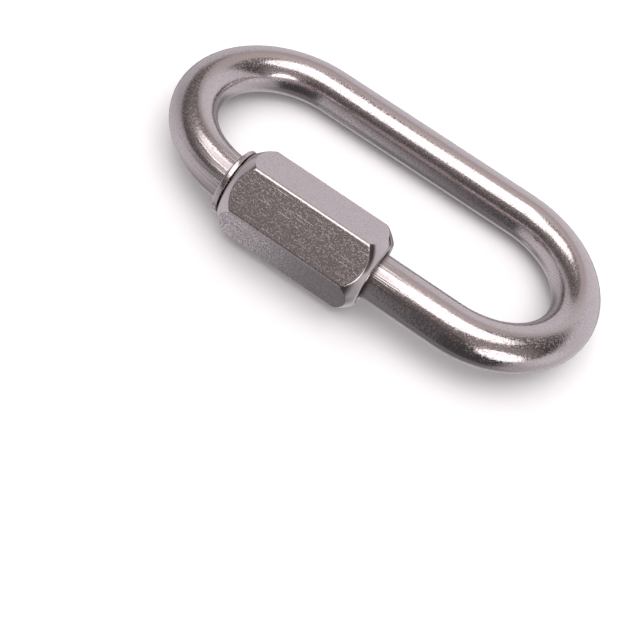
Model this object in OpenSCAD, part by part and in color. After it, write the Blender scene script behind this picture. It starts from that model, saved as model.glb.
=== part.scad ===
// Oval chain quick link: a bent round bar whose open side is closed by a hexagonal sleeve nut.
// The link lies at rest on the plane z = 0: +X runs along the arms, the nut's arm is on the -Y side.
// All lengths are in millimetres.

/* [Oval] */
// Diameter of the round bar
bar_d = 10; // [6:0.5:14]
// Clear width between the two arms
inside_w = 31; // [26:0.5:60]
// Length of the straight arms, between the ends of the bends
straight_len = 50; // [46:0.5:90]

/* [Screw gate] */
// Height of the thread's crest above the bar
thread_step = 1; // [0.6:0.1:1.6]
// Length of thread beside the collar
short_thread = 5.5; // [4:0.5:8]
// Opening between the two threaded ends
gate_gap = 12.5; // [8:0.5:14]
// Length of thread on the arm that the nut opens onto
long_thread = 13; // [9:0.5:13]
// Width of the relief groove between the collar and the short thread
groove_w = 0.8; // [0.4:0.1:1.5]
// Chamfer on the free end of each thread
thread_chamfer = 0.9; // [0.5:0.1:1.2]
// Thickness of the stop collar
collar_t = 1; // [0.9:0.1:2.5]
// Height of the collar's rim above the thread
collar_lip = 1.15; // [0.7:0.05:2]
// Rounding of the collar's rim
collar_round = 0.35; // [0.1:0.05:0.4]

/* [Sleeve nut] */
// Length of the nut
nut_len = 32.5; // [32:0.5:38]
// Wall between the thread and the flats
nut_wall = 2.4; // [1.8:0.1:4]
// How much larger the radius of the domed ends is than the circle through the hexagon's edges
dome_extra = 1.3; // [0.6:0.1:4]
// Amount that the hexagon's edges are turned down
edge_trim = 0.12; // [0.04:0.02:0.3]
// Turn of the lowest hexagon edge from straight down, towards the other arm
nut_turn = 11.5; // [-30:0.5:30]
// Width of the lead-in chamfer at each end of the bore
lead_in = 0.4; // [0.2:0.1:0.5]

/* [Clearances] */
// Radial clearance between thread and nut
thread_clear = 0.1; // [0.05:0.05:0.3]
// Gap between the closed nut and the collar
seat_gap = 0.3; // [0.1:0.05:0.6]

/* [Hidden] */
$fn = 96;
overrun = 1;

// Oval, in its own plane: the arms' axes are at y = -arm_y and y = arm_y
bar_r = bar_d / 2;
bend_r = inside_w / 2 + bar_r;
arm_y = bend_r;
arm_span = 2 * arm_y;
tangent_x = straight_len / 2;

// Screw gate, along the nut's arm
thread_r = bar_r + thread_step;
collar_r = thread_r + collar_lip;
collar_face = -tangent_x;
short_end = collar_face + short_thread;
long_end = short_end + gate_gap;
runout_x = long_end + long_thread;
runout_len = thread_step;

// Sleeve nut, with its hexagon's corners turned to a slightly smaller circle
nut_sides = 6;
side_angle = 360 / nut_sides;
nut_x = collar_face + seat_gap;
bore_r = thread_r + thread_clear;
flat_r = bore_r + nut_wall;
corner_r = flat_r / cos(side_angle / 2);
edge_r = corner_r - edge_trim;
edge_half_angle = side_angle / 2 - acos(flat_r / edge_r);
dome_r = edge_r + dome_extra;
dome_centre = sqrt(dome_r * dome_r - collar_r * collar_r);
dome_len = dome_centre - sqrt(dome_r * dome_r - edge_r * edge_r);

// How far the nut reaches from its axis, in a direction at an angle from one of its corners
function nut_reach(angle) =
    let (off_corner = abs(angle - side_angle * round(angle / side_angle)))
    edge_r * cos(max(0, off_corner - edge_half_angle));

// Rest: the nut's lowest edge and the plain arm both touch z = 0
nut_z = nut_reach(nut_turn);
tilt = asin((nut_z - bar_r) / arm_span);
arms_apart = arm_span * cos(tilt);
front_reach = nut_reach(90 - nut_turn);
nut_y = (front_reach - bar_r - arms_apart) / 2;

steel = [0.66, 0.64, 0.64];
nut_steel = [0.56, 0.54, 0.54];

// Turns a shape that was made along +Z so that it runs along +X
module along_x(x = 0) {
    translate([x, 0, 0])
        rotate([0, 90, 0])
            children();
}

// Brings the oval's plane to rest, with the nut's arm raised onto the nut
module at_rest() {
    translate([0, nut_y, nut_z])
        rotate([-tilt, 0, 0])
            translate([0, arm_y, 0])
                children();
}

// Half turn of bar that joins the arms at the end of the link
module bend() {
    translate([tangent_x, 0, 0])
        rotate([0, 0, -90])
            rotate_extrude(angle = 180)
                translate([bend_r, 0])
                    circle(r = bar_r);
}

module bar(from_x, to_x) {
    along_x(from_x)
        cylinder(r = bar_r, h = to_x - from_x);
}

// Ring with a rounded rim, upset out of the bar as the nut's stop
module collar() {
    rim_r = collar_r - collar_round;
    along_x(collar_face - collar_t) {
        cylinder(r = rim_r, h = collar_t);
        translate([0, 0, collar_round])
            cylinder(r = collar_r, h = collar_t - 2 * collar_round);
        for (z = [collar_round, collar_t - collar_round])
            translate([0, 0, z])
                rotate_extrude()
                    translate([rim_r, 0])
                        circle(r = collar_round);
    }
}

// Threaded end beside the collar: relief groove, thread envelope, chamfered tip
module short_stub() {
    along_x(collar_face)
        rotate_extrude()
            polygon([
                [0, 0],
                [bar_r, 0],
                [bar_r, groove_w],
                [thread_r, groove_w + thread_step],
                [thread_r, short_thread - thread_chamfer],
                [thread_r - thread_chamfer, short_thread],
                [0, short_thread]
            ]);
}

// Threaded end on the other side of the gate, running out into the bar
module long_stub() {
    along_x(long_end)
        rotate_extrude()
            polygon([
                [0, 0],
                [thread_r - thread_chamfer, 0],
                [thread_r, thread_chamfer],
                [thread_r, long_thread - runout_len],
                [bar_r, long_thread],
                [0, long_thread]
            ]);
}

// The bent bar with its collar and both threaded ends, one piece
module bow() {
    color(steel)
        at_rest() {
            bend();
            mirror([1, 0, 0])
                bend();
            translate([0, arm_y, 0])
                bar(-tangent_x, tangent_x);
            translate([0, -arm_y, 0]) {
                collar();
                short_stub();
                long_stub();
                bar(runout_x, tangent_x);
            }
        }
}

// End of the nut, domed from the collar's diameter out to the hexagon's edges
module domed_end() {
    intersection() {
        cylinder(r = edge_r, h = dome_len);
        translate([0, 0, dome_centre])
            sphere(r = dome_r);
    }
}

// Round stock turned to the nut's length, with a dome at each end
module turned_blank() {
    domed_end();
    translate([0, 0, dome_len])
        cylinder(r = edge_r, h = nut_len - 2 * dome_len);
    translate([0, 0, nut_len])
        mirror([0, 0, 1])
            domed_end();
}

// Bore of the nut with a lead-in at both ends
module nut_bore() {
    mouth_r = bore_r + lead_in;
    translate([0, 0, -overrun])
        cylinder(r = bore_r, h = nut_len + 2 * overrun);
    translate([0, 0, -overrun])
        cylinder(r1 = mouth_r + overrun, r2 = bore_r, h = lead_in + overrun);
    translate([0, 0, nut_len - lead_in])
        cylinder(r1 = bore_r, r2 = mouth_r + overrun, h = lead_in + overrun);
}

// Hexagonal sleeve that screws over both threaded ends and closes the gate
module sleeve_nut() {
    color(nut_steel)
        translate([nut_x, nut_y, nut_z])
            rotate([nut_turn, 0, 0])
                along_x()
                    difference() {
                        intersection() {
                            cylinder(r = corner_r, h = nut_len, $fn = nut_sides);
                            turned_blank();
                        }
                        nut_bore();
                    }
}

bow();
sleeve_nut();
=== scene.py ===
"""Looks of the oval quick link: threaded bow, domed hexagonal sleeve nut, steel finishes, studio."""

import math

import bpy
import numpy as np
from mathutils import Matrix, Vector


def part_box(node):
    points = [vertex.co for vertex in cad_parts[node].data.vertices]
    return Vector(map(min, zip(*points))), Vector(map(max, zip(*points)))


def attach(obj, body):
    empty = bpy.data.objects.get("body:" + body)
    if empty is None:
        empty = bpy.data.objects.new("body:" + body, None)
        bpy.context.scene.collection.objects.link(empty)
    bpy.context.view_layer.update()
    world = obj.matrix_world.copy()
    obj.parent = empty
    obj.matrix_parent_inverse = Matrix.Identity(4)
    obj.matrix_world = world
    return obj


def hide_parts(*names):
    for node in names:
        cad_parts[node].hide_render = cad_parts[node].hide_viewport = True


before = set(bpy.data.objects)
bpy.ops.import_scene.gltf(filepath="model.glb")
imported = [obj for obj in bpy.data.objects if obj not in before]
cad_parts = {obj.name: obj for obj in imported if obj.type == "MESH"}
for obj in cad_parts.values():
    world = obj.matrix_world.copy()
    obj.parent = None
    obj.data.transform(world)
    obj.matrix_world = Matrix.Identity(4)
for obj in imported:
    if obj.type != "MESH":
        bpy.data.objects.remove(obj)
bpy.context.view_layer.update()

MM = 0.001

# Oval, in its own plane
BAR_R = 5.0 * MM
ARM_Y = 20.5 * MM
TANGENT_X = 25.0 * MM
BEND_LEN = math.pi * ARM_Y

# Thread form, with its crest and root as shares of the pitch
PITCH = 1.75 * MM
CREST_SHARE = 0.125
ROOT_SHARE = 0.25

# Screw gate
THREAD_R = 6.0 * MM
THREAD_STEP = THREAD_R - BAR_R
THREAD_DEPTH = 0.95 * MM
SHORT_THREAD = 5.5 * MM
LONG_THREAD = 13.0 * MM
GATE_GAP = 12.5 * MM
GROOVE_W = 0.8 * MM
TIP_CHAMFER = 0.9 * MM
TIP_CAP_R = 0.8 * MM
COLLAR_R = 7.15 * MM
COLLAR_T = 1.0 * MM
SHORT_END = -TANGENT_X + SHORT_THREAD
LONG_END = SHORT_END + GATE_GAP

# Roundings of the bow
THREAD_SOFT = 0.12 * MM
RUNOUT_SOFT = 0.5 * MM
COLLAR_ROUND = 0.35 * MM
COLLAR_SEAT = 0.12 * MM
COLLAR_ROOT = 0.25 * MM

# Sleeve nut
NUT_SIDES = 6
SIDE_ANGLE = math.tau / NUT_SIDES
NUT_TURN = math.radians(11.5)
FLAT_R = 8.5 * MM
EDGE_R = 9.695 * MM
EDGE_HALF_ANGLE = SIDE_ANGLE / 2 - math.acos(FLAT_R / EDGE_R)
DOME_R = EDGE_R + 1.3 * MM
DOME_CENTRE = math.sqrt(DOME_R ** 2 - COLLAR_R ** 2)
BORE_R = 6.1 * MM
MOUTH_R = 6.5 * MM
NUT_THREAD_LEN = 22.5 * MM
NUT_THREAD_DEPTH = 0.9 * MM
NUT_THREAD_END = NUT_THREAD_LEN + NUT_THREAD_DEPTH

# Roundings of the nut
EDGE_SOFT = 0.12 * MM
CREASE_SOFT = 0.14 * MM
SEAT_SOFT = 0.06 * MM
RIM_SOFT = 0.45 * MM
BORE_SOFT = 0.08 * MM

# Rest: the nut's arm is raised onto the nut, so the oval's plane is tilted
nut_low, nut_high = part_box("sleeve_nut")
bow_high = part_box("bow")[1]
NUT_X = nut_low.x
NUT_LEN = nut_high.x - nut_low.x
PLAIN_ARM_Z = BAR_R
PLAIN_ARM_Y = bow_high.y - BAR_R
NUT_Z = EDGE_R * math.cos(max(0.0, NUT_TURN - EDGE_HALF_ANGLE))
TILT = math.asin((NUT_Z - PLAIN_ARM_Z) / (2 * ARM_Y))
NUT_Y = PLAIN_ARM_Y - 2 * ARM_Y * math.cos(TILT)

# Largest share of a profile's side that one rounding takes up
ROUNDING_SHARE = 0.48


def smooth_min(a, b, width):
    """Lower of two values, with the corner between them blended over a width."""
    share = np.clip(0.5 + 0.5 * (b - a) / width, 0, 1)
    return b + (a - b) * share - width * share * (1 - share)


def ease(t):
    """Smooth step from 0 to 1."""
    t = np.clip(t, 0, 1)
    return t * t * (3 - 2 * t)


def corner_curve(start, corner, end, count):
    """Points of the small curve that takes a corner's place."""
    shares = np.linspace(0, 1, count)
    return [(1 - t) ** 2 * start + 2 * t * (1 - t) * corner + t * t * end for t in shares]


def rounded_profile(corners, arc_points=6):
    """Polyline through (place, radius, rounding) corners, each corner replaced by a small curve."""
    points = []
    for k, (s, r, rounding) in enumerate(corners):
        here = np.array((s, r))
        if k in (0, len(corners) - 1) or rounding == 0:
            points.append(here)
            continue
        before = np.array(corners[k - 1][:2]) - here
        after = np.array(corners[k + 1][:2]) - here
        room_before = ROUNDING_SHARE * np.linalg.norm(before)
        room_after = ROUNDING_SHARE * np.linalg.norm(after)
        reach = min(rounding, room_before, room_after)
        start = here + before / np.linalg.norm(before) * reach
        end = here + after / np.linalg.norm(after) * reach
        points.extend(corner_curve(start, here, end, arc_points))
    return np.array(points)


def refine(points, step_at):
    """Adds points to a polyline so that no step is longer than step_at(place) allows."""
    fine = [points[0]]
    for a, b in zip(points[:-1], points[1:]):
        count = max(1, math.ceil(abs(b[0] - a[0]) / step_at(0.5 * (a[0] + b[0]))))
        for k in range(1, count + 1):
            fine.append(a + (b - a) * k / count)
    return np.array(fine)


def thread_radius(x, angle, crest_r, depth):
    """Radius of a right-hand thread about the nut's axis, at a place along it and an angle from +Y."""
    phase = x / PITCH - angle / math.tau
    off_crest = 2 * np.abs(phase - np.round(phase))
    flank = (off_crest - CREST_SHARE) / (1 - CREST_SHARE - ROOT_SHARE)
    return crest_r - depth * ease(flank)


def mesh_object(name, points, attributes, looped):
    """Object from a grid of points whose rows close round; the rows form a loop or end in caps."""
    rows, columns = points.shape[:2]
    index = np.arange(rows * columns).reshape(rows, columns)
    if looped:
        index = np.vstack([index, index[:1]])
    across = np.roll(index, -1, axis=1)
    quads = np.stack([index[:-1], across[:-1], across[1:], index[1:]], axis=-1).reshape(-1, 4)
    faces = quads.tolist()
    if not looped:
        faces.append(index[0][::-1].tolist())
        faces.append(index[-1].tolist())
    mesh = bpy.data.meshes.new(name)
    mesh.from_pydata(points.reshape(-1, 3).tolist(), [], faces)
    mesh.polygons.foreach_set("use_smooth", [True] * len(mesh.polygons))
    for key, values in attributes.items():
        kind, field = ("FLOAT_VECTOR", "vector") if values.shape[-1] == 3 else ("FLOAT", "value")
        layer = mesh.attributes.new(key, kind, "POINT")
        layer.data.foreach_set(field, values.reshape(-1))
    mesh.validate()
    mesh.update()
    obj = bpy.data.objects.new(name, mesh)
    bpy.context.scene.collection.objects.link(obj)
    return obj


# Bow: its path runs from the short thread's tip round the oval to the long thread's tip

BEND_1 = SHORT_THREAD
SPINE = BEND_1 + BEND_LEN
BEND_2 = SPINE + 2 * TANGENT_X
ARM = BEND_2 + BEND_LEN
PATH_END = ARM + TANGENT_X - LONG_END
RUNOUT = PATH_END - LONG_THREAD

BOW_COLUMNS = 128
BAR_STEP = 0.6 * MM
FINE_STEP = 0.12 * MM

# Wear and painted shade: how far die marks, rub marks and painted shade reach, and how strong they are
DIE_LEN = 14.0 * MM
RUB_LEN = 10.0 * MM
RUB_STRENGTH = 0.8
SHADE_LEN = 0.9 * MM
COLLAR_SHADE = 0.7
BORE_SHADE = 0.6


def oval_path(s):
    """Place on the bow's axis and the outward direction there, in the oval's plane, at a path length."""
    if s < BEND_1:
        return (SHORT_END - s, -ARM_Y), (0, -1)
    if s < SPINE:
        turn = (s - BEND_1) / ARM_Y
        out = (-math.sin(turn), -math.cos(turn))
        return (-TANGENT_X + ARM_Y * out[0], ARM_Y * out[1]), out
    if s < BEND_2:
        return (s - SPINE - TANGENT_X, ARM_Y), (0, 1)
    if s < ARM:
        turn = (s - BEND_2) / ARM_Y
        out = (math.sin(turn), math.cos(turn))
        return (TANGENT_X + ARM_Y * out[0], ARM_Y * out[1]), out
    return (TANGENT_X - (s - ARM), -ARM_Y), (0, -1)


def bow_step(s):
    """Longest step along the bow's path: short on the threads."""
    on_thread = s < SHORT_THREAD or s > RUNOUT - THREAD_STEP
    return FINE_STEP if on_thread else BAR_STEP


def bow_profile():
    """Radius of the bow along its path, without the thread's grooves, from one tip to the other."""
    groove = SHORT_THREAD - GROOVE_W
    collar_back = SHORT_THREAD + COLLAR_T
    tip_r = THREAD_R - TIP_CHAMFER
    corners = [
        (0, TIP_CAP_R, 0),
        (0, tip_r, THREAD_SOFT),
        (TIP_CHAMFER, THREAD_R, THREAD_SOFT),
        (groove - THREAD_STEP, THREAD_R, THREAD_SOFT),
        (groove, BAR_R, THREAD_SOFT),
        (SHORT_THREAD, BAR_R, THREAD_SOFT),
        (SHORT_THREAD, COLLAR_R, COLLAR_SEAT),
        (collar_back, COLLAR_R, COLLAR_ROUND),
        (collar_back, BAR_R, COLLAR_ROOT),
        (RUNOUT, BAR_R, RUNOUT_SOFT),
        (RUNOUT + THREAD_STEP, THREAD_R, THREAD_SOFT),
        (PATH_END - TIP_CHAMFER, THREAD_R, THREAD_SOFT),
        (PATH_END, tip_r, THREAD_SOFT),
        (PATH_END, TIP_CAP_R, 0),
    ]
    return refine(rounded_profile(corners), bow_step)


def make_bow():
    """Bent bar with its collar and both threaded ends, as one closed mesh."""
    profile = bow_profile()
    around = np.linspace(0, math.tau, BOW_COLUMNS, endpoint=False)
    thread_angle = math.pi - around
    points = np.zeros((len(profile), BOW_COLUMNS, 3))
    place = np.zeros_like(points)
    marks = np.zeros((len(profile), BOW_COLUMNS, 1))
    painted_shade = np.zeros((len(profile), BOW_COLUMNS, 1))
    for k, (s, r) in enumerate(profile):
        (x, y), out = oval_path(s)
        radius = np.full(BOW_COLUMNS, r)
        if s < SHORT_THREAD - GROOVE_W or s > RUNOUT:
            radius = np.minimum(radius, thread_radius(x, thread_angle, THREAD_R, THREAD_DEPTH))
            # Painted shade, darker towards the thread's roots
            painted_shade[k, :, 0] = ease((THREAD_R - radius) / THREAD_DEPTH)
        outward = radius * np.cos(around)
        upward = radius * np.sin(around)
        points[k, :, 0] = x + outward * out[0]
        points[k, :, 1] = y + outward * out[1]
        points[k, :, 2] = upward
        place[k, :, 0] = outward
        place[k, :, 1] = upward
        place[k, :, 2] = s
        past_collar = s - SHORT_THREAD - COLLAR_T
        past_nut = ARM + TANGENT_X - s - NUT_X - NUT_LEN
        if past_collar > 0:
            rubbed = RUB_STRENGTH * ease(1 - abs(past_nut) / RUB_LEN)
            marks[k] = max(ease(1 - past_collar / DIE_LEN), rubbed)
            # Painted shade on the bar: at the nut's mouth (its shadow and dark reflection) and just behind
            # the collar
            painted_shade[k] = np.maximum(painted_shade[k], ease(1 - abs(past_nut) / SHADE_LEN))
            painted_shade[k] = np.maximum(painted_shade[k], COLLAR_SHADE * ease(1 - past_collar / SHADE_LEN))
    attributes = {"bar_place": place, "marks": marks, "painted_shade": painted_shade}
    bow = mesh_object("bow_bar", points + (0, ARM_Y, 0), attributes, looped=False)
    bow.data.transform(Matrix.Translation((0, NUT_Y, NUT_Z)) @ Matrix.Rotation(-TILT, 4, "X"))
    return bow


# Sleeve nut

CORNER_COLUMNS = 18
FLAT_COLUMNS = 30
CORNER_SPAN = math.radians(3.2)
RIM_ROWS = 6
DOME_ROWS = 12
CREASE_ROWS = 11
CREASE_SPAN = 1.6 * CREASE_SOFT
FLAT_ROWS = (0.25 * MM, 0.8 * MM, 2.5 * MM)
BORE_ARC_POINTS = 4
NUT_THREAD_STEP = 0.13 * MM
PLAIN_BORE_STEP = 1.5 * MM


def nut_angles():
    """Angles of the nut's columns from +Y, close together at the hexagon's edges."""
    flat_end = SIDE_ANGLE - CORNER_SPAN
    angles = []
    for k in range(NUT_SIDES):
        corner = NUT_TURN - math.pi / 2 + k * SIDE_ANGLE
        angles.extend(corner + np.linspace(-CORNER_SPAN, CORNER_SPAN, CORNER_COLUMNS, endpoint=False))
        angles.extend(corner + np.linspace(CORNER_SPAN, flat_end, FLAT_COLUMNS, endpoint=False))
    return np.array(angles)


def hexagon_radius(angle):
    """Reach of the hexagon with its edges turned down and rounded."""
    off_flat = angle - NUT_TURN + math.pi / 2 - SIDE_ANGLE / 2
    off_flat = off_flat - SIDE_ANGLE * np.round(off_flat / SIDE_ANGLE)
    return smooth_min(FLAT_R / np.cos(off_flat), EDGE_R, EDGE_SOFT)


def nut_end_rows(angles, rim_soft):
    """Rows (distance from the end, radius) of one end: rim, dome, the crease with the flats."""
    hexagon = hexagon_radius(angles)
    crease = DOME_CENTRE - np.sqrt(DOME_R ** 2 - hexagon ** 2)
    slope = np.array((COLLAR_R, DOME_CENTRE)) / DOME_R
    rim = np.array((0, COLLAR_R))
    rim_start = rim - (0, rim_soft)
    rim_end = rim + slope * rim_soft
    rows = []
    for x, r in corner_curve(rim_start, rim, rim_end, RIM_ROWS):
        rows.append((np.full_like(angles, x), np.full_like(angles, r)))
    dome_shares = np.linspace(0, 1, DOME_ROWS)[1:]
    crease_shares = np.linspace(-1, 1, CREASE_ROWS)[1:]
    places = [rim_end[0] + (crease - CREASE_SPAN - rim_end[0]) * t for t in dome_shares]
    places += [crease + CREASE_SPAN * t for t in crease_shares]
    places += [crease + CREASE_SPAN + d for d in FLAT_ROWS]
    for x in places:
        dome = np.sqrt(np.maximum(DOME_R ** 2 - np.maximum(DOME_CENTRE - x, 0) ** 2, 0))
        rows.append((x, smooth_min(dome, hexagon, CREASE_SOFT)))
    return rows


def bore_step(x):
    """Longest step along the bore: short on its thread."""
    return NUT_THREAD_STEP if x < NUT_THREAD_END else PLAIN_BORE_STEP


def nut_bore_rows(angles):
    """Rows (place, radius) of the inside, from the far end back to the collar's end."""
    lead = MOUTH_R - BORE_R
    crest_r = BORE_R - NUT_THREAD_DEPTH
    corners = [
        (NUT_LEN, COLLAR_R - RIM_SOFT, 0),
        (NUT_LEN, MOUTH_R, BORE_SOFT),
        (NUT_LEN - lead, BORE_R, BORE_SOFT),
        (NUT_THREAD_END, BORE_R, BORE_SOFT),
        (NUT_THREAD_LEN, crest_r, 0),
        (MOUTH_R - crest_r, crest_r, 0),
        (0, MOUTH_R, BORE_SOFT),
        (0, COLLAR_R - SEAT_SOFT, 0),
    ]
    rows = []
    for x, r in refine(rounded_profile(corners, BORE_ARC_POINTS), bore_step)[1:-1]:
        radius = np.full_like(angles, r)
        if 0 < x < NUT_THREAD_END:
            thread = thread_radius(NUT_X + x, angles, BORE_R, NUT_THREAD_DEPTH)
            radius = np.maximum(radius, thread)
        rows.append((np.full_like(angles, x), radius))
    return rows


def make_nut():
    """Hexagonal sleeve with domed ends, threaded bore and plain counterbore, as one closed mesh."""
    angles = nut_angles()
    left = nut_end_rows(angles, SEAT_SOFT)
    right = [(NUT_LEN - x, r) for x, r in reversed(nut_end_rows(angles, RIM_SOFT))]
    outside = left + right
    rows = outside + nut_bore_rows(angles)
    points = np.zeros((len(rows), len(angles), 3))
    turned = np.zeros((len(rows), len(angles), 1))
    painted_shade = np.zeros((len(rows), len(angles), 1))
    hexagon = hexagon_radius(angles)
    for k, (x, r) in enumerate(rows):
        points[k, :, 0] = NUT_X + x
        points[k, :, 1] = NUT_Y + r * np.cos(angles)
        points[k, :, 2] = NUT_Z + r * np.sin(angles)
        turned[k, :, 0] = ease((hexagon - r) / CREASE_SOFT)
        if k >= len(outside):
            # Painted shade inside the bore, fading out over the mouth's lead-in
            painted_shade[k, :, 0] = BORE_SHADE * ease((MOUTH_R - r) / (MOUTH_R - BORE_R))
    return mesh_object("nut_sleeve", points, {"turned": turned, "painted_shade": painted_shade}, looped=True)


# Shader nodes

def new_material(name):
    """Empty node material with its shader and output."""
    material = bpy.data.materials.new(name)
    material.use_nodes = True
    tree = material.node_tree
    tree.nodes.clear()
    shader = tree.nodes.new("ShaderNodeBsdfPrincipled")
    output = tree.nodes.new("ShaderNodeOutputMaterial")
    tree.links.new(shader.outputs["BSDF"], output.inputs["Surface"])
    return material, tree, shader


def add_node(tree, kind, **settings):
    """New node with properties and plain input values."""
    node = tree.nodes.new(kind)
    for key, value in settings.items():
        if key in node.inputs:
            node.inputs[key].default_value = value
        else:
            setattr(node, key, value)
    return node


def feed(tree, socket, value):
    """Sets a socket to a plain number, or links it to another node's output."""
    if isinstance(value, (int, float)):
        socket.default_value = value
    else:
        tree.links.new(value, socket)


def stretched(tree, vector, scale):
    """Vector with each axis scaled, so that a noise runs long along some of them."""
    node = add_node(tree, "ShaderNodeVectorMath", operation="MULTIPLY")
    node.inputs[1].default_value = scale
    tree.links.new(vector, node.inputs[0])
    return node.outputs["Vector"]


def noise(tree, vector, fineness, detail=2.0, roughness=0.5):
    """Noise of a given fineness, in cycles to the metre."""
    node = add_node(tree, "ShaderNodeTexNoise", Scale=fineness, Detail=detail, Roughness=roughness)
    tree.links.new(vector, node.inputs["Vector"])
    return node.outputs["Fac"]


def mapped(tree, value, low, high, to_low=0, to_high=1):
    """Value carried from one range to another, with its ends held."""
    node = add_node(tree, "ShaderNodeMapRange")
    for socket, number in zip(("From Min", "From Max", "To Min", "To Max"), (low, high, to_low, to_high)):
        node.inputs[socket].default_value = number
    tree.links.new(value, node.inputs["Value"])
    return node.outputs["Result"]


def combined(tree, operation, a, b=0.0):
    """Math on two values, either of which may be a plain number."""
    node = add_node(tree, "ShaderNodeMath", operation=operation)
    for socket, value in zip(node.inputs, (a, b)):
        feed(tree, socket, value)
    return node.outputs["Value"]


def blended(tree, share, a, b):
    """Value between two values, either of which may be a plain number."""
    node = add_node(tree, "ShaderNodeMix", data_type="FLOAT")
    tree.links.new(share, node.inputs[0])
    for socket, value in zip(node.inputs[2:4], (a, b)):
        feed(tree, socket, value)
    return node.outputs[0]


def tinted(tree, share, first, second):
    """Colour between two colours, either of which may come from another node."""
    node = add_node(tree, "ShaderNodeMix", data_type="RGBA")
    colours = [socket for socket in node.inputs if socket.type == "RGBA"]
    for socket, colour in zip(colours, (first, second)):
        if isinstance(colour, tuple):
            socket.default_value = (*colour, 1)
        else:
            tree.links.new(colour, socket)
    tree.links.new(share, node.inputs["Factor"])
    return [socket for socket in node.outputs if socket.type == "RGBA"][0]


def bumped(tree, height, depth, normal=None):
    """Normal bent by a height map of a given depth."""
    node = add_node(tree, "ShaderNodeBump", Strength=1.0, Distance=depth)
    tree.links.new(height, node.inputs["Height"])
    if normal is not None:
        tree.links.new(normal, node.inputs["Normal"])
    return node.outputs["Normal"]


def attribute(tree, name, output="Vector"):
    """Value stored on the mesh."""
    return add_node(tree, "ShaderNodeAttribute", attribute_name=name).outputs[output]


# Materials

CLEAN_STEEL = (0.615, 0.54, 0.55)
# Steel darkened in its pits, scratches and marks: painted shade
PIT_SHADE_STEEL = (0.565, 0.495, 0.505)
# Colour of the painted shade in thread roots, the bore, behind the collar and at the nut's mouth
SHADE_COLOUR = (0.1, 0.078, 0.068)
SMOOTH = 0.07
ROUGH = 0.13
DULLING = 0.25
GRAIN_FINENESS = 2300
PIT_FINENESS = 1.3 * GRAIN_FINENESS
PIT_DEPTH = 0.003 * MM
# Share of painted shade in the grooves of die and rub marks
MARK_SHADE = 0.15
FLOOR_COLOURS = ((0.88, 0.865, 0.875), (0.9, 0.885, 0.895))
FLOOR_ROUGHNESS = 0.9

# Noise values between which each feature of the steel fades in
GRAIN_SPAN = (0.3, 0.7)
BAR_PIT_SPAN = (0.5, 0.61)
NUT_PIT_SPAN = (0.5, 0.59)
MARK_SPAN = (0.47, 0.57)
SCRATCH_SPAN = (0.64, 0.74)

# Stretches of a noise: the bar's length is its third axis, the nut's length its first
LINE_STRETCH = (1, 1, 0.03)
MARK_STRETCH = (1, 1, 0.015)
SCRATCH_STRETCH = (0.04, 1, 1)
WAVE_STRETCH = (0.15, 1, 1)
RING_STRETCH = (1, 0.05, 0.05)


def pitted(tree, place, pit_span):
    """Tumbled surface: the height of its grain, and the dull pits between its polished spots."""
    grain = noise(tree, place, fineness=GRAIN_FINENESS)
    pits = noise(tree, place, fineness=PIT_FINENESS, roughness=0.55)
    return grain, mapped(tree, pits, *pit_span)


def steel(tree, shader, normal, grain, pits, painted_shade):
    """Metal with its gloss varied by the grain, duller in its pits and where shade is painted, with
    painted shade darkening both.
    """
    tree.links.new(normal, shader.inputs["Normal"])
    gloss = mapped(tree, grain, *GRAIN_SPAN, SMOOTH, ROUGH)
    gloss = combined(tree, "ADD", gloss, combined(tree, "MULTIPLY", pits, DULLING))
    gloss = combined(tree, "ADD", gloss, combined(tree, "MULTIPLY", painted_shade, DULLING))
    tree.links.new(gloss, shader.inputs["Roughness"])
    # Darker colour in the pits is painted shade
    clean = tinted(tree, pits, CLEAN_STEEL, PIT_SHADE_STEEL)
    # Painted shade: colour mixed towards the dark shade colour
    tree.links.new(tinted(tree, painted_shade, clean, SHADE_COLOUR), shader.inputs["Base Color"])
    shader.inputs["Metallic"].default_value = 1.0


def bar_material():
    """Tumbled and polished bar: fine pits, faint drawing lines, die marks behind the collar."""
    material, tree, shader = new_material("bar_steel_look")
    place = attribute(tree, "bar_place")
    drawn = attribute(tree, "marks", "Fac")
    painted_shade = attribute(tree, "painted_shade", "Fac")
    grain, pits = pitted(tree, place, BAR_PIT_SPAN)
    lines = noise(tree, stretched(tree, place, LINE_STRETCH), fineness=2600)
    dents = noise(tree, place, fineness=160)
    marks = noise(tree, stretched(tree, place, MARK_STRETCH), fineness=1700, detail=1)
    marks = combined(tree, "MULTIPLY", mapped(tree, marks, *MARK_SPAN), drawn)
    # Marks count as pits, so they take the pits' duller gloss and painted shade
    pits = combined(tree, "MAXIMUM", pits, marks)
    # Painted shade in the grooves of the marks, joined to the painted shade stored on the mesh
    painted_shade = combined(tree, "MAXIMUM", painted_shade, combined(tree, "MULTIPLY", marks, MARK_SHADE))
    normal = bumped(tree, dents, depth=0.015 * MM)
    normal = bumped(tree, lines, depth=0.008 * MM, normal=normal)
    normal = bumped(tree, marks, depth=-0.035 * MM, normal=normal)
    normal = bumped(tree, grain, depth=0.016 * MM, normal=normal)
    normal = bumped(tree, pits, depth=-PIT_DEPTH, normal=normal)
    steel(tree, shader, normal, grain, pits, painted_shade)
    return material


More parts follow.
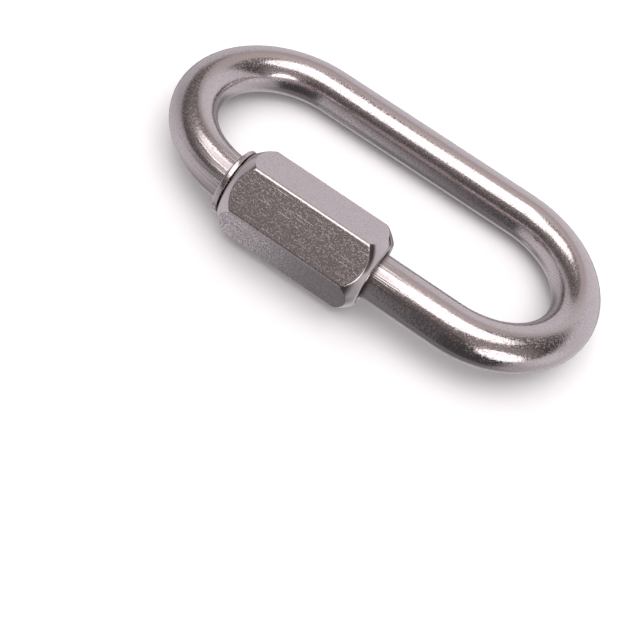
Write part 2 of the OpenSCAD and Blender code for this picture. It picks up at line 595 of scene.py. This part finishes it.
def nut_material():
    """Satin hexagon bar: pitted flats with lengthwise scratches, bright turned ends."""
    material, tree, shader = new_material("nut_steel_look")
    place = add_node(tree, "ShaderNodeTexCoord").outputs["Object"]
    turned = attribute(tree, "turned", "Fac")
    # Painted shade inside the bore, stored on the mesh
    painted_shade = attribute(tree, "painted_shade", "Fac")
    flats = combined(tree, "SUBTRACT", 1.0, turned)
    grain, pits = pitted(tree, place, NUT_PIT_SPAN)
    scratches = noise(tree, stretched(tree, place, SCRATCH_STRETCH), fineness=3000, detail=1)
    scratches = mapped(tree, scratches, *SCRATCH_SPAN)
    # Scratches count as pits on the flats: duller, and darkened by painted shade
    pits = combined(tree, "MULTIPLY", combined(tree, "MAXIMUM", pits, scratches), flats)
    rings = noise(tree, stretched(tree, place, RING_STRETCH), fineness=5200, detail=1)
    wave = noise(tree, stretched(tree, place, WAVE_STRETCH), fineness=260, detail=1)
    scratched_flats = combined(tree, "MULTIPLY", scratches, flats)
    ringed_ends = combined(tree, "MULTIPLY", rings, turned)
    grained_flats = combined(tree, "MULTIPLY", grain, flats)
    normal = bumped(tree, wave, depth=0.03 * MM)
    normal = bumped(tree, scratched_flats, depth=-0.005 * MM, normal=normal)
    normal = bumped(tree, ringed_ends, depth=0.003 * MM, normal=normal)
    normal = bumped(tree, grained_flats, depth=0.03 * MM, normal=normal)
    normal = bumped(tree, pits, depth=-PIT_DEPTH, normal=normal)
    steel(tree, shader, normal, grain, pits, painted_shade)
    return material


def floor_material():
    """Plain pale studio floor."""
    material, tree, shader = new_material("floor_look")
    place = add_node(tree, "ShaderNodeTexCoord").outputs["Object"]
    grain = noise(tree, place, fineness=30)
    tree.links.new(tinted(tree, grain, *FLOOR_COLOURS), shader.inputs["Base Color"])
    shader.inputs["Roughness"].default_value = FLOOR_ROUGHNESS
    return material


# Studio

FLOOR_SIZE = 16.0
CAMERA_PLACE = Vector((23.2, -142.1, 166.2)) * MM
CAMERA_AIM = Vector((3.32, -32.27, 7.27)) * MM
CAMERA_ROLL = math.radians(25.95)
CAMERA_LENS = 58.4
CAMERA_NEAR = 0.01
CAMERA_FAR = 20

# Surroundings: headings in degrees from +Y towards +X, levels as radiance
BACK_HEADING = 20
EDGE_HEADING = 18
FRONT_HEADING = 154
DEEP_HEADING = -10
GAP_HEADING = -2
PALE_LEVEL = 0.5
BACK_GAIN = 0.33
DEEP_LEVEL = 0.24
FRONT_LEVEL = 0.07
GAP_LEVEL = 0.44
NADIR_LEVEL = 0.2
NADIR_SPOT_LEVEL = 0.78
NADIR_BACK_LEVEL = 0.65
PALE_TINT = (1.0, 0.99, 1.035)
DARK_TINT = (1.08, 0.99, 0.96)

# Surroundings: where each zone fades in, by nearness to its heading or along x, y or z
FRONT_SPAN = (0.78, 0.9)
FRONT_Z = (-0.9, -0.74)
DEEP_SPAN = (0.65, 0.88)
DEEP_Z = (-0.3, -0.55)
GAP_SPAN = (0.9, 0.955)
NADIR_Z = (-0.7, -0.92)
NADIR_SPOT = (-132, -69)
NADIR_SPOT_SPAN = (0.9915, 0.9985)
NADIR_BACK_Y = (-0.16, 0.2)
HALO_Z = (0.5, 0.85)

# Surroundings: slopes across a zone, as the span and the values at its two ends
EDGE_SOFT_Z = (-0.06, 0.06)
EDGE_BY_HEADING = (0, 1, -0.04, 0.61)
EDGE_BY_X = (-0.4, 0.3, 0.26, 0.1)
DARK_BY_Y = (-0.6, 0.3, 0.112, 0.14)
DIMMING_BY_X = (0.1, 0.6, 1, 0.5)
HALO_BY_X = (-0.5, 0.5, 0.26, 0.1)


def make_camera():
    """Camera at the photograph's place, rolled as the photograph is."""
    data = bpy.data.cameras.new("camera")
    data.lens = CAMERA_LENS
    data.sensor_fit = "HORIZONTAL"
    data.clip_start = CAMERA_NEAR
    data.clip_end = CAMERA_FAR
    camera = bpy.data.objects.new("camera", data)
    bpy.context.scene.collection.objects.link(camera)
    forward = (CAMERA_AIM - CAMERA_PLACE).normalized()
    level = forward.cross(Vector((0, 0, 1))).normalized()
    upright = level.cross(forward)
    right = level * math.cos(CAMERA_ROLL) + upright * math.sin(CAMERA_ROLL)
    up = right.cross(forward)
    rotation = Matrix((right, up, -forward)).transposed()
    camera.matrix_world = Matrix.Translation(CAMERA_PLACE) @ rotation.to_4x4()
    bpy.context.scene.camera = camera


def make_softbox(name, place, size, radiance, turn=0, aimed=False, seen=True):
    """Oval light, aimed at the link or facing straight down, with or without a reflection."""
    data = bpy.data.lights.new(name, "AREA")
    data.shape = "ELLIPSE"
    data.size, data.size_y = size
    area = math.pi / 4 * size[0] * size[1]
    data.energy = radiance * math.pi * area
    lamp = bpy.data.objects.new(name, data)
    bpy.context.scene.collection.objects.link(lamp)
    lamp.location = place
    lamp.rotation_euler = (0, 0, math.radians(turn))
    if aimed:
        lamp.rotation_euler = Vector(place).to_track_quat("Z", "Y").to_euler()
    lamp.visible_glossy = seen


def make_world():
    """Surroundings: pale behind the link and beside it, dark in front, above and below."""
    world = bpy.data.worlds.new("studio")
    bpy.context.scene.world = world
    world.use_nodes = True
    tree = world.node_tree
    tree.nodes.clear()
    split = add_node(tree, "ShaderNodeSeparateXYZ")
    tree.links.new(add_node(tree, "ShaderNodeTexCoord").outputs["Generated"], split.inputs["Vector"])
    x, y, z = split.outputs
    height_squared = combined(tree, "MULTIPLY", z, z)
    around = combined(tree, "SQRT", combined(tree, "SUBTRACT", 1.0, height_squared))

    def towards(heading, rise=0):
        """How nearly a direction points to a heading and a rise, from 0 to 1."""
        a = math.radians(heading)
        b = math.radians(rise)
        across = combined(tree, "MULTIPLY", x, math.sin(a) * math.cos(b))
        along = combined(tree, "MULTIPLY", y, math.cos(a) * math.cos(b))
        upward = combined(tree, "MULTIPLY", z, math.sin(b))
        sideways = combined(tree, "ADD", across, along)
        return combined(tree, "MAXIMUM", combined(tree, "ADD", sideways, upward), 0.0)

    def sector(heading, low, high, to_low=0, to_high=1):
        """Value that depends on the heading alone, the same from floor to ceiling."""
        return mapped(tree, combined(tree, "DIVIDE", towards(heading), around), low, high, to_low, to_high)

    def glow(heading, rise, start, level):
        """Soft round spot that brightens towards its middle."""
        return mapped(tree, towards(heading, rise), start, 1.0, 0, level)

    # Dark upper part, with a pale gap in it behind the link and a halo overhead
    edge = sector(EDGE_HEADING, *EDGE_BY_HEADING)
    edge = combined(tree, "MAXIMUM", edge, mapped(tree, x, *EDGE_BY_X))
    above = mapped(tree, combined(tree, "SUBTRACT", z, edge), *EDGE_SOFT_Z)
    dark = mapped(tree, y, *DARK_BY_Y)
    dark = combined(tree, "MULTIPLY", dark, mapped(tree, x, *DIMMING_BY_X))
    dark = combined(tree, "ADD", dark, glow(heading=122, rise=30, start=0.8, level=0.28))
    upper = blended(tree, sector(GAP_HEADING, *GAP_SPAN), dark, GAP_LEVEL)
    halo = mapped(tree, x, *HALO_BY_X)
    halo = combined(tree, "MULTIPLY", halo, mapped(tree, z, *HALO_Z))
    upper = combined(tree, "ADD", upper, halo)

    # Pale lower part, darker low behind the link, straight below and in front
    level = combined(tree, "MULTIPLY", towards(BACK_HEADING), BACK_GAIN)
    level = combined(tree, "ADD", level, PALE_LEVEL)
    level = combined(tree, "ADD", level, glow(heading=-115, rise=-36, start=0.6, level=0.25))
    level = combined(tree, "ADD", level, glow(heading=92, rise=-8, start=0.9, level=0.2))
    deep = combined(tree, "MULTIPLY", sector(DEEP_HEADING, *DEEP_SPAN), mapped(tree, z, *DEEP_Z))
    level = blended(tree, deep, level, DEEP_LEVEL)
    nadir = mapped(tree, towards(*NADIR_SPOT), *NADIR_SPOT_SPAN, NADIR_LEVEL, NADIR_SPOT_LEVEL)
    nadir_back = mapped(tree, y, *NADIR_BACK_Y, NADIR_LEVEL, NADIR_BACK_LEVEL)
    nadir = combined(tree, "MAXIMUM", nadir, nadir_back)
    level = blended(tree, mapped(tree, z, *NADIR_Z), level, nadir)
    in_front = combined(tree, "MULTIPLY", sector(FRONT_HEADING, *FRONT_SPAN), mapped(tree, z, *FRONT_Z))
    level = blended(tree, in_front, level, FRONT_LEVEL)

    back = add_node(tree, "ShaderNodeBackground")
    output = add_node(tree, "ShaderNodeOutputWorld")
    tree.links.new(tinted(tree, above, PALE_TINT, DARK_TINT), back.inputs["Color"])
    tree.links.new(blended(tree, above, level, upper), back.inputs["Strength"])
    tree.links.new(back.outputs["Background"], output.inputs["Surface"])


def make_floor():
    """Floor that the link lies on."""
    half = FLOOR_SIZE / 2
    mesh = bpy.data.meshes.new("floor")
    corners = [(-half, -half, 0), (half, -half, 0), (half, half, 0), (-half, half, 0)]
    mesh.from_pydata(corners, [], [(0, 1, 2, 3)])
    floor = bpy.data.objects.new("floor", mesh)
    bpy.context.scene.collection.objects.link(floor)
    floor.data.materials.append(floor_material())
    floor.visible_glossy = False


def dress(obj, body, node, material):
    """Puts a piece in place of a CAD node, on its body."""
    obj.data.materials.append(material)
    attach(obj, body)
    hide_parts(node)


bpy.context.scene.view_settings.view_transform = "Standard"
dress(make_bow(), "bow", "bow", bar_material())
dress(make_nut(), "nut", "sleeve_nut", nut_material())
make_camera()
make_world()
make_floor()
make_softbox("overhead", place=(0.08, -0.15, 1.0), size=(1.36, 0.775), radiance=1.85, turn=39)
make_softbox("overhead_left", place=(-0.53, 0.12, 1.0), size=(0.52, 0.84), radiance=1.85)
make_softbox("front_right", place=(0.9, -0.7, 0.235), size=(0.8, 0.78), radiance=2.0, aimed=True)
make_softbox("floor_fill", place=(0, 0, 12.0), size=(30.0, 30.0), radiance=0.75, seen=False)
